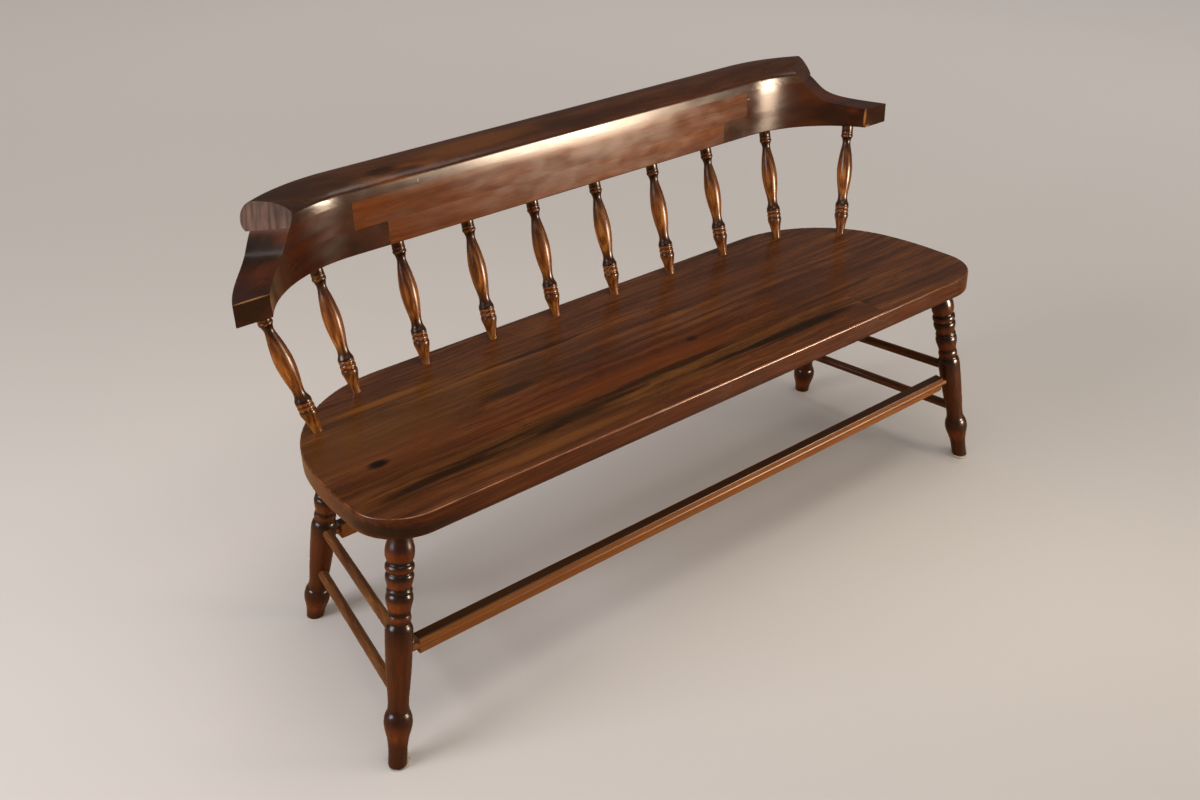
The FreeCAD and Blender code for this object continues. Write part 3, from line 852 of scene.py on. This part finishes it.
    def seams(self) -> tuple[Seam, ...]:
        """The glue lines and the spindles' bores.

        Returns:
            Every seam of the bow.
        """
        layer_ends = [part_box(node)[0].y for node in ("rail_middle_left", "crest_rail")]
        levels = [Seam(leaned(0, 0, height), UP, front=end)
                  for height, end in zip(self.joint_heights_mm, layer_ends)]
        joints = [Seam(Vector((sign * x * MM, 0, 0)), LENGTH) for x in self.joint_x_mm for sign in (-1, 1)]
        bores = []
        for node in spindle_nodes():
            low, high = turning_line(node)
            bores.append(Seam(low, (high - low).normalized(), self.bore_mm * MM))
        return (*levels, *joints, *bores)

    def build(self) -> list[bpy.types.Object]:
        """Make the layers and the crest.

        Returns:
            The pieces of the bow.
        """
        crest = self.crest_finish().material()
        layer = self.layer_finish().material()
        arm = self.arm_finish().material()
        seams = self.seams()
        made = []
        plan = (("crest_rail", crest, Run.LENGTHWISE), ("rail_middle_centre", layer, Run.LENGTHWISE),
                ("rail_lower_centre", layer, Run.LENGTHWISE), ("rail_middle_left", arm, Run.LEFT_ARM),
                ("rail_middle_right", arm, Run.RIGHT_ARM), ("rail_lower_left", arm, Run.LEFT_ARM),
                ("rail_lower_right", arm, Run.RIGHT_ARM))
        for pattern, (node, wood, run) in enumerate(plan, self.first_pattern):
            turn = Matrix.Rotation(math.radians(run.value), 3, "Z")
            along = (turn @ LENGTH).normalized()
            shaped = None if "lower" in node else self.ease_face
            arris = self.arm_arris_mm if wood is arm else self.arris_mm
            made.append(Worked(node, wood, "arm_rail", along, UP, SEAT_ORIGIN, pattern,
                               arris_mm=arris, flat=True, seams=seams, shaped=shaped,
                               worn=self.rubbed, end_cut=self.cut_end).build())
        return made


def turning_line(node: str) -> tuple[Vector, Vector]:
    """The ends of a turned piece's axis, from its CAD mesh.

    Args:
        node: the CAD node's name.

    Returns:
        The lower end and the upper end.
    """
    points = [vertex.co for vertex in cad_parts[node].data.vertices]
    end_height = 12 * MM    # each end's middle is taken from the points this near to its level
    ends = []
    for level in (min(point.z for point in points), max(point.z for point in points)):
        ends.append(middle_of([point for point in points if abs(point.z - level) < end_height]))
    direction = (ends[1] - ends[0]).normalized()
    reaches = [(point - ends[0]).dot(direction) for point in points]
    return ends[0] + direction * min(reaches), ends[0] + direction * max(reaches)


def middle_of(points: Sequence[Vector]) -> Vector:
    """The middle of the box round some points."""
    return Vector([(min(values) + max(values)) / 2 for values in zip(*points)])


def spindle_nodes() -> list[str]:
    """The spindles' CAD nodes, from left to right."""
    return [f"spindle_{number:02d}" for number in range(1, SPINDLE_COUNT + 1)]


@dataclass
class Spindles:
    """Ten turned spindles, wiped to gold on their bellies and dark in their grooves, with painted shade on
    their upper bellies.
    """

    tenon_mm: float = 20.0              # hidden in the seat, below the start of the bands
    keep_sharp: float = math.radians(40)
    first_pattern: int = 21

    def finish(self) -> Wood:
        """Amber stain on turned beech: gold on the bellies, with dark glazing left in the grooves and painted
        shade over the upper bellies.

        Returns:
            The spindles' finish.
        """
        return Wood("amber_glazed_beech_spindle_painted_shade", dark="#5e2a0d", middle="#94501b", light="#ca8436",
                    cloud="#673812", streak_mm=(70.0, 4.0), fibre_mm=(25.0, 0.9), cloud_share=0.5,
                    cloud_mm=(45.0, 16.0), roughness=0.26, wander_mm=2.0, glaze_and_shade="#1c0c06",
                    # painted shade darkens the upper belly from 128 mm up; the other dips are glazing in the
                    # grooves
                    glaze_and_shade_bands=((0, 0.65), (14, 0.8), (28, 0.6), (36, 0.4), (38.5, 0.0), (41, 1.0), (44, 0.9),
                           (46.2, 0.0), (48.5, 1.0), (51, 0.9), (53.5, 0.0), (57, 0.1), (64, 0.12),
                           (72, 0.45), (82, 0.95), (112, 1.0), (128, 0.7), (150, 0.42), (165, 0.25),
                           (178, 0.1), (182, 0.0), (185, 0.85), (188.3, 0.0), (190.8, 0.85), (193.5, 0.0),
                           (200, 0.5), (208, 0.3)))

    def build(self) -> list[bpy.types.Object]:
        """Make the spindles.

        Returns:
            The spindles.
        """
        wood = self.finish().material()
        made = []
        for pattern, node in enumerate(spindle_nodes(), self.first_pattern):
            low, high = turning_line(node)
            along = (high - low).normalized()
            foot = low + along * self.tenon_mm * MM
            made.append(Worked(node, wood, "spindles", along, FRONTWARDS, foot, pattern,
                               keep_sharp=self.keep_sharp).build())
        return made


@dataclass
class Legs:
    """Four turned legs, the rear pair cut shorter at the foot."""

    rear_trim_mm: float = 24.5          # what is cut off the rear feet
    keep_sharp: float = math.radians(40)
    first_pattern: int = 40

    def finish(self) -> Wood:
        """Red walnut stain on turned beech: bright on the beads, glazed dark between them, with painted shade
        on the top of each bead.

        Returns:
            The legs' finish.
        """
        return Wood("walnut_glazed_beech_leg_painted_shade", dark="#461c0b", middle="#6f310e", light="#a4551c",
                    cloud="#3c1c0d", streak_mm=(90.0, 7.0), fibre_mm=(40.0, 1.0), cloud_share=0.55,
                    cloud_mm=(60.0, 22.0), roughness=0.27, wander_mm=2.0, figure_spread=0.38,
                    ring_share=0.03,
                    # painted shade darkens the top of each bead and of the bulb, which stay golden
                    # underneath; the dips at the necks are glazing
                    glaze_and_shade_bands=((0, 0.3), (34, 0.35), (48, 0.95), (60, 0.8), (72, 0.25), (85, 0.2), (100, 0.4),
                           (190, 0.6), (210, 0.3), (226, 0.08), (231, 0.25), (238, 0.9), (243, 0.05),
                           (247, 0.1), (251, 0.95), (261, 0.85), (267, 0.25), (275, 0.05), (279, 0.15),
                           (283, 0.05), (287, 0.95), (295, 0.8), (299, 0.2), (306, 0.03), (309, 0.9),
                           (314, 0.8), (318, 0.2), (323, 0.03), (328, 1.0), (337, 0.9), (345, 0.3),
                           (400, 0.3)))

    def build(self) -> list[bpy.types.Object]:
        """Make the legs.

        Returns:
            The legs.
        """
        wood = self.finish().material()
        made = []
        for row, trim in (("front", 0.0), ("rear", self.rear_trim_mm)):
            for side in ("left", "right"):
                node = f"leg_{row}_{side}"
                low, high = turning_line(node)
                along = (high - low).normalized()
                rise = (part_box(node)[0].z - low.z) / along.z
                foot = low + along * (rise - trim * MM)
                made.append(Worked(node, wood, "legs", along, FRONTWARDS, foot,
                                   self.first_pattern + len(made), keep_sharp=self.keep_sharp).build())
        return made


@dataclass
class Stretchers:
    """Two flat bars between the legs and two dowels on each side."""

    bar_arris_mm: float = 0.9
    bar_wear: float = 1.0
    bar_pattern: int = 50
    dowel_pattern: int = 56

    def bar_finish(self, node: str) -> Wood:
        """Amber stain on pine, wiped thin on the upright faces, with the top edge painted nearly black:
        painted shade under the seat over a thicker coat of stain.

        Args:
            node: the bar's CAD node.

        Returns:
            The bar's finish.
        """
        low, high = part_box(node)
        middle = (low.y + high.y) / 2
        return Wood("amber_stained_" + node, dark="#6e3f18", middle="#905624", light="#b07838",
                    cloud="#7a451c", streak_mm=(260.0, 7.0), fibre_mm=(50.0, 1.0), cloud_share=0.45,
                    figure_spread=0.3, roughness=0.34, ring_share=0.03, worn="#c89a68",
                    patches=(
                        # painted shade under the seat over thicker stain on the top face; the two marks after
                        # it darken the top near both ends as well
                        Patch(Vector((0.0, middle, high.z)), (3000, 60, 2.6), "#2c180c", 0.88, 0.1),
                        Patch(Vector((low.x, middle, high.z)), (30, 60, 16), "#120905", 0.9, 0.3),
                        Patch(Vector((high.x, middle, high.z)), (30, 60, 16), "#120905", 0.7, 0.3),
                    ))

    def dowel_finish(self) -> Wood:
        """Olive brown stain on ash dowels, whose open pores show as short dark dashes.

        Returns:
            The dowels' finish.
        """
        return Wood("olive_stained_ash_dowel", dark="#3a1d0d", middle="#683a18", light="#a06c34",
                    cloud="#3e210e", streak_mm=(140.0, 8.0), fibre_mm=(40.0, 1.1), cloud_share=0.55,
                    figure_spread=0.22, ring_share=0.03, roughness=0.32, wander_mm=1.5)

    def rubbed(self, face: bmesh.types.BMFace) -> float:
        """How far an eased arris of a bar has rubbed through: only the upper front one has."""
        return self.bar_wear if face.normal.z > 0.4 and face.normal.y < -0.4 else 0.0

    def build(self) -> list[bpy.types.Object]:
        """Make the bars and dowels.

        Returns:
            The stretchers.
        """
        dowel = self.dowel_finish().material()
        made = []
        for pattern, node in enumerate(("front_stretcher", "rear_stretcher"), self.bar_pattern):
            low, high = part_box(node)
            bar = self.bar_finish(node).material()
            made.append(Worked(node, bar, "stretchers", LENGTH, UPRIGHT, (low + high) / 2, pattern,
                               arris_mm=self.bar_arris_mm, flat=True, worn=self.rubbed).build())
        dowels = [(f"side_stretcher_{level}_{side}", inward) for level in ("upper", "lower")
                  for side, inward in (("left", 1), ("right", -1))]
        for pattern, (node, inward) in enumerate(dowels, self.dowel_pattern):
            low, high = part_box(node)
            along = Vector((inward * (high.x - low.x), high.y - low.y, low.z - high.z)).normalized()
            made.append(Worked(node, dowel, "stretchers", along, UPRIGHT, (low + high) / 2, pattern).build())
        return made


@dataclass
class FootPads:
    """Round felt pads under the front feet."""

    arris_mm: float = 0.6
    pattern: int = 70

    def build(self) -> list[bpy.types.Object]:
        """Make the pads.

        Returns:
            The pads.
        """
        felt = Felt().material()
        return [Worked("foot_pad_" + side, felt, "foot_pads", LENGTH, UPRIGHT, Vector(), self.pattern,
                       arris_mm=self.arris_mm).build() for side in ("left", "right")]


@dataclass(frozen=True)
class Lamp:
    """A rectangular soft lamp aimed at the bench."""

    name: str
    azimuth: float                      # degrees round from the bench's front, to its right
    elevation: float                    # degrees above the floor
    distance: float                     # metres from the place that it is aimed at
    size: tuple[float, float]           # width and height in metres
    watts: float
    colour: str
    spread: float = 180.0               # degrees that its light fans out over
    gloss_alone: bool = False           # whether it shows in the wood's gloss and lights nothing

    def hang(self, target: Vector) -> None:
        """Make the lamp and aim it.

        Args:
            target: the place that it is aimed at.
        """
        light = bpy.data.lights.new(self.name, "AREA")
        light.shape = "RECTANGLE"
        light.spread = math.radians(self.spread)
        light.size, light.size_y = self.size
        light.energy = self.watts
        light.color = linear(self.colour)[:3]
        lamp = bpy.data.objects.new(self.name, light)
        bpy.context.scene.collection.objects.link(lamp)
        away = outward(self.azimuth, self.elevation)
        lamp.location = target + away * self.distance
        lamp.rotation_euler = away.to_track_quat("Z", "Y").to_euler()
        lamp.visible_diffuse = not self.gloss_alone


@dataclass
class Studio:
    """Pale floor, soft lamps and the camera at the photograph's viewing angle."""

    floor_size: float = 40.0
    floor_colour: str = "#d6d0c9"
    far_floor_colour: str = "#fbf5f0"   # away from the lamps, so that the floor looks even
    far_floor: tuple[float, float] = (1.0, 3.6)     # metres from the middle over which it turns paler
    bounce_colour: str = "#b08a62"      # a warmer floor for the light that it throws back at the wood
    world_colour: str = "#cdc8c5"
    world_seen: float = 0.85            # how bright the surroundings are to the camera
    world_light: float = 0.7            # as light on the wood
    world_gloss: float = 0.18           # and in its gloss
    camera_place: tuple[float, float, float] = (-1.2785, -1.4485, 1.4699)
    camera_azimuth: float = -39.5877
    camera_elevation: float = 32.1541
    camera_roll: float = 0.9956
    lens_mm: float = 39.415
    target: tuple[float, float, float] = (0.0, 0.0, 0.4)
    lamps: tuple[Lamp, ...] = (
        Lamp("window_right", 38.3, 6.6, 1.805, (0.57, 0.6), 1.8, "#ffe8cc", spread=60.0),
        Lamp("window_right_pane", 38.0, 3.0, 1.8, (0.47, 0.42), 44.0, "#ffdfc0", gloss_alone=True),
        Lamp("window_left", -98.0, 20.0, 3.0, (1.2, 1.2), 16.0, "#f6f6ff", spread=100.0),
        Lamp("ceiling", 10.0, 78.0, 3.0, (2.6, 2.0), 38.0, "#fff8f0"),
    )

    def floor(self) -> None:
        """Lay a matt pale floor."""
        bm = bmesh.new()
        bmesh.ops.create_grid(bm, x_segments=4, y_segments=4, size=self.floor_size / 2)
        made = bpy.data.meshes.new("studio_floor")
        bm.to_mesh(made)
        bm.free()
        floor = bpy.data.objects.new("studio_floor", made)
        bpy.context.scene.collection.objects.link(floor)
        paint = bpy.data.materials.new("matt_floor_paint")
        paint.use_nodes = True
        tree = paint.node_tree
        shader = tree.nodes["Principled BSDF"]
        seen = add(tree, "LightPath").outputs["Is Camera Ray"]
        place = add(tree, "TexCoord").outputs["Object"]
        distance = add(tree, "VectorMath", {0: place}, operation="LENGTH").outputs["Value"]
        near, even = self.far_floor
        far = add(tree, "MapRange", {0: distance, 1: near, 2: even}, interpolation_type="SMOOTHSTEP")
        paler = add(tree, "Mix", {0: far.outputs[0], 6: linear(self.floor_colour),
                                  7: linear(self.far_floor_colour)}, data_type="RGBA")
        colour = add(tree, "Mix", {0: seen, 6: linear(self.bounce_colour), 7: paler.outputs[2]},
                     data_type="RGBA")
        tree.links.new(colour.outputs[2], shader.inputs["Base Color"])
        shader.inputs["Roughness"].default_value = 0.85
        shader.inputs["Specular IOR Level"].default_value = 0.2
        made.materials.append(paint)

    def world(self) -> None:
        """Set even pale surroundings, which show dimmer in the wood's gloss than they light it."""
        world = bpy.data.worlds.new("studio_surroundings")
        bpy.context.scene.world = world
        world.use_nodes = True
        tree = world.node_tree
        tree.nodes.clear()
        path = add(tree, "LightPath")
        unseen = add(tree, "MapRange", {0: path.outputs["Is Glossy Ray"], 3: self.world_light,
                                        4: self.world_gloss})
        strength = add(tree, "MapRange", {0: path.outputs["Is Camera Ray"], 3: unseen.outputs[0],
                                          4: self.world_seen})
        sky = add(tree, "Background", {"Color": linear(self.world_colour), "Strength": strength.outputs[0]})
        add(tree, "OutputWorld", {0: sky.outputs[0]})

    def camera(self) -> None:
        """Set up the camera with the photograph's place, direction and lens."""
        lens = bpy.data.cameras.new("camera")
        lens.sensor_width = 36.0
        lens.lens = self.lens_mm
        lens.clip_end = 100.0
        camera = bpy.data.objects.new("camera", lens)
        bpy.context.scene.collection.objects.link(camera)
        sight = -outward(self.camera_azimuth, self.camera_elevation)
        level = sight.to_track_quat("-Z", "Y").to_matrix().to_4x4()
        roll = Matrix.Rotation(math.radians(self.camera_roll), 4, "Z")
        camera.matrix_world = Matrix.Translation(self.camera_place) @ level @ roll
        bpy.context.scene.camera = camera

    def build(self) -> None:
        """Set up the floor, the lamps, the surroundings and the camera."""
        self.floor()
        for lamp in self.lamps:
            lamp.hang(Vector(self.target))
        self.world()
        self.camera()
        bpy.context.scene.view_settings.view_transform = "Standard"


def main() -> None:
    """Build every sub-assembly and report its pieces."""
    logging.basicConfig(level=logging.INFO, format="%(message)s")
    for assembly in (PlankSeat(), BowedRail(), Spindles(), Legs(), Stretchers(), FootPads()):
        made = assembly.build()
        log.info("%s: %d pieces", type(assembly).__name__, len(made))
    Studio().build()


if __name__ == "__main__":
    main()
